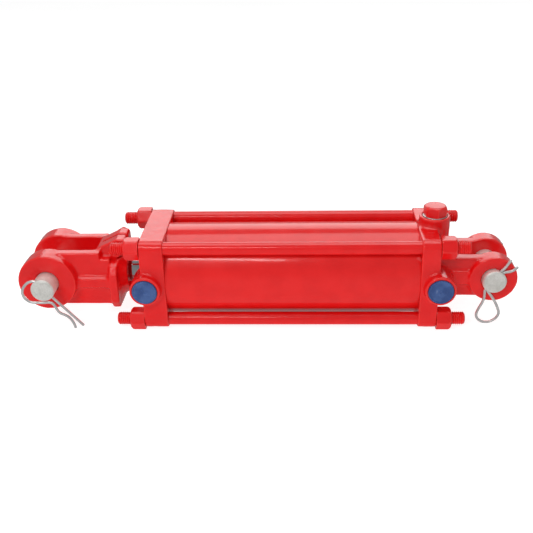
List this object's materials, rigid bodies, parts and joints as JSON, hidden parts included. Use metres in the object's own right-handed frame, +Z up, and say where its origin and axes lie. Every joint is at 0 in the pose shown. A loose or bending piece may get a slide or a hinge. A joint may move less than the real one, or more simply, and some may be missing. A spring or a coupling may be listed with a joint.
{
  "type": "hydraulic cylinder",
  "caption": "Double-acting tie-rod hydraulic cylinder with a clevis, pin and spring clips at each end and plugged side ports.",
  "frame": {"origin": "centre of the base clevis pin, on the cylinder's axis", "axes": "+X from the rod clevis to the base clevis along the cylinder's axis, so the rod moves out towards -X; +Y along both clevis pins, away from the side ports; +Z up, towards the top port"},
  "size_m": [0.5475, 0.1231, 0.1271],
  "materials": {
    "red_tube": "gloss enamel over drawn tube",
    "red_casting": "gloss enamel over cast iron",
    "red_tie_rod": "gloss enamel over drawn bar",
    "red_fastener": "gloss enamel over steel fasteners",
    "blue_plastic": "moulded, slightly scuffed",
    "bright_steel": "bright turned",
    "seal_rubber": "smooth nitrile",
    "dark_nylon": "moulded",
    "hard_chrome": "ground and polished",
    "machined_steel": "turned",
    "zinc_plate": "dull zinc plate",
    "spring_wire": "bright zinc plated wire"
  },
  "bodies": {
    "barrel": {"barrel_tube": "red_tube", "rod_end_head": "red_casting", "base_end_cap": "red_casting", "tie_rod_1": "red_tie_rod", "tie_rod_2": "red_tie_rod", "tie_rod_3": "red_tie_rod", "tie_rod_4": "red_tie_rod", "rod_end_nut_1": "red_fastener", "rod_end_nut_2": "red_fastener", "rod_end_nut_3": "red_fastener", "rod_end_nut_4": "red_fastener", "base_end_nut_1": "red_fastener", "base_end_nut_2": "red_fastener", "base_end_nut_3": "red_fastener", "base_end_nut_4": "red_fastener", "top_port_plug": "red_fastener", "top_port_seal": "bright_steel", "head_oring": "seal_rubber", "head_backup_ring": "dark_nylon", "cap_oring": "seal_rubber", "cap_backup_ring": "dark_nylon", "rod_wiper": "seal_rubber", "rod_seal": "seal_rubber", "rod_bushing": "dark_nylon"},
    "piston_rings": {"piston_seal": "seal_rubber", "piston_energizer": "seal_rubber", "piston_wear_ring_rod_side": "dark_nylon", "piston_wear_ring_base_side": "dark_nylon"},
    "rod_group": {"piston_rod": "hard_chrome", "piston": "machined_steel", "piston_nut": "machined_steel", "rod_piston_oring": "seal_rubber", "rod_clevis": "red_casting", "clamp_bolt": "red_fastener", "clamp_nut": "red_fastener", "clamp_washer": "red_fastener"},
    "rod_pin_group": {"rod_pin": "zinc_plate", "rod_near_clip": "spring_wire"},
    "rod_far_clip_group": {"rod_far_clip": "spring_wire"},
    "base_pin_group": {"base_pin": "zinc_plate", "base_near_clip": "spring_wire"},
    "base_far_clip_group": {"base_far_clip": "spring_wire"},
    "rod_plug_group": {"rod_port_plug": "blue_plastic"},
    "base_plug_group": {"base_port_plug": "blue_plastic"}
  },
  "joints": [
    {"name": "rod_extend", "type": "slide", "parent": "barrel", "child": "piston_rings", "axis": [-1, 0, 0], "range_m": [0, 0.2032]},
    {"name": "rod_turn", "type": "hinge", "parent": "piston_rings", "child": "rod_group", "pos_m": [-0.2, 0, 0], "axis": [1, 0, 0], "continuous": true},
    {"name": "rod_pin_pull", "type": "slide", "parent": "rod_group", "child": "rod_pin_group", "axis": [0, -1, 0], "range_m": [0, 0.13], "deforming": ["rod_far_clip"]},
    {"name": "rod_clip_off", "type": "slide", "parent": "rod_group", "child": "rod_far_clip_group", "axis": [-0.6494, 0, 0.7604], "range_m": [0, 0.078]},
    {"name": "base_pin_pull", "type": "slide", "parent": "barrel", "child": "base_pin_group", "axis": [0, -1, 0], "range_m": [0, 0.13], "deforming": ["base_far_clip"]},
    {"name": "base_clip_off", "type": "slide", "parent": "barrel", "child": "base_far_clip_group", "axis": [-1, 0, 0], "range_m": [0, 0.078]},
    {"name": "rod_plug_pull", "type": "slide", "parent": "barrel", "child": "rod_plug_group", "axis": [0, -1, 0], "range_m": [0, 0.06]},
    {"name": "base_plug_pull", "type": "slide", "parent": "barrel", "child": "base_plug_group", "axis": [0, -1, 0], "range_m": [0, 0.06]}
  ],
  "couplings": [
    {"joint": "rod_clip_off", "follows": "rod_pin_pull", "ratio": 0.6},
    {"joint": "base_clip_off", "follows": "base_pin_pull", "ratio": 0.6}
  ]
}
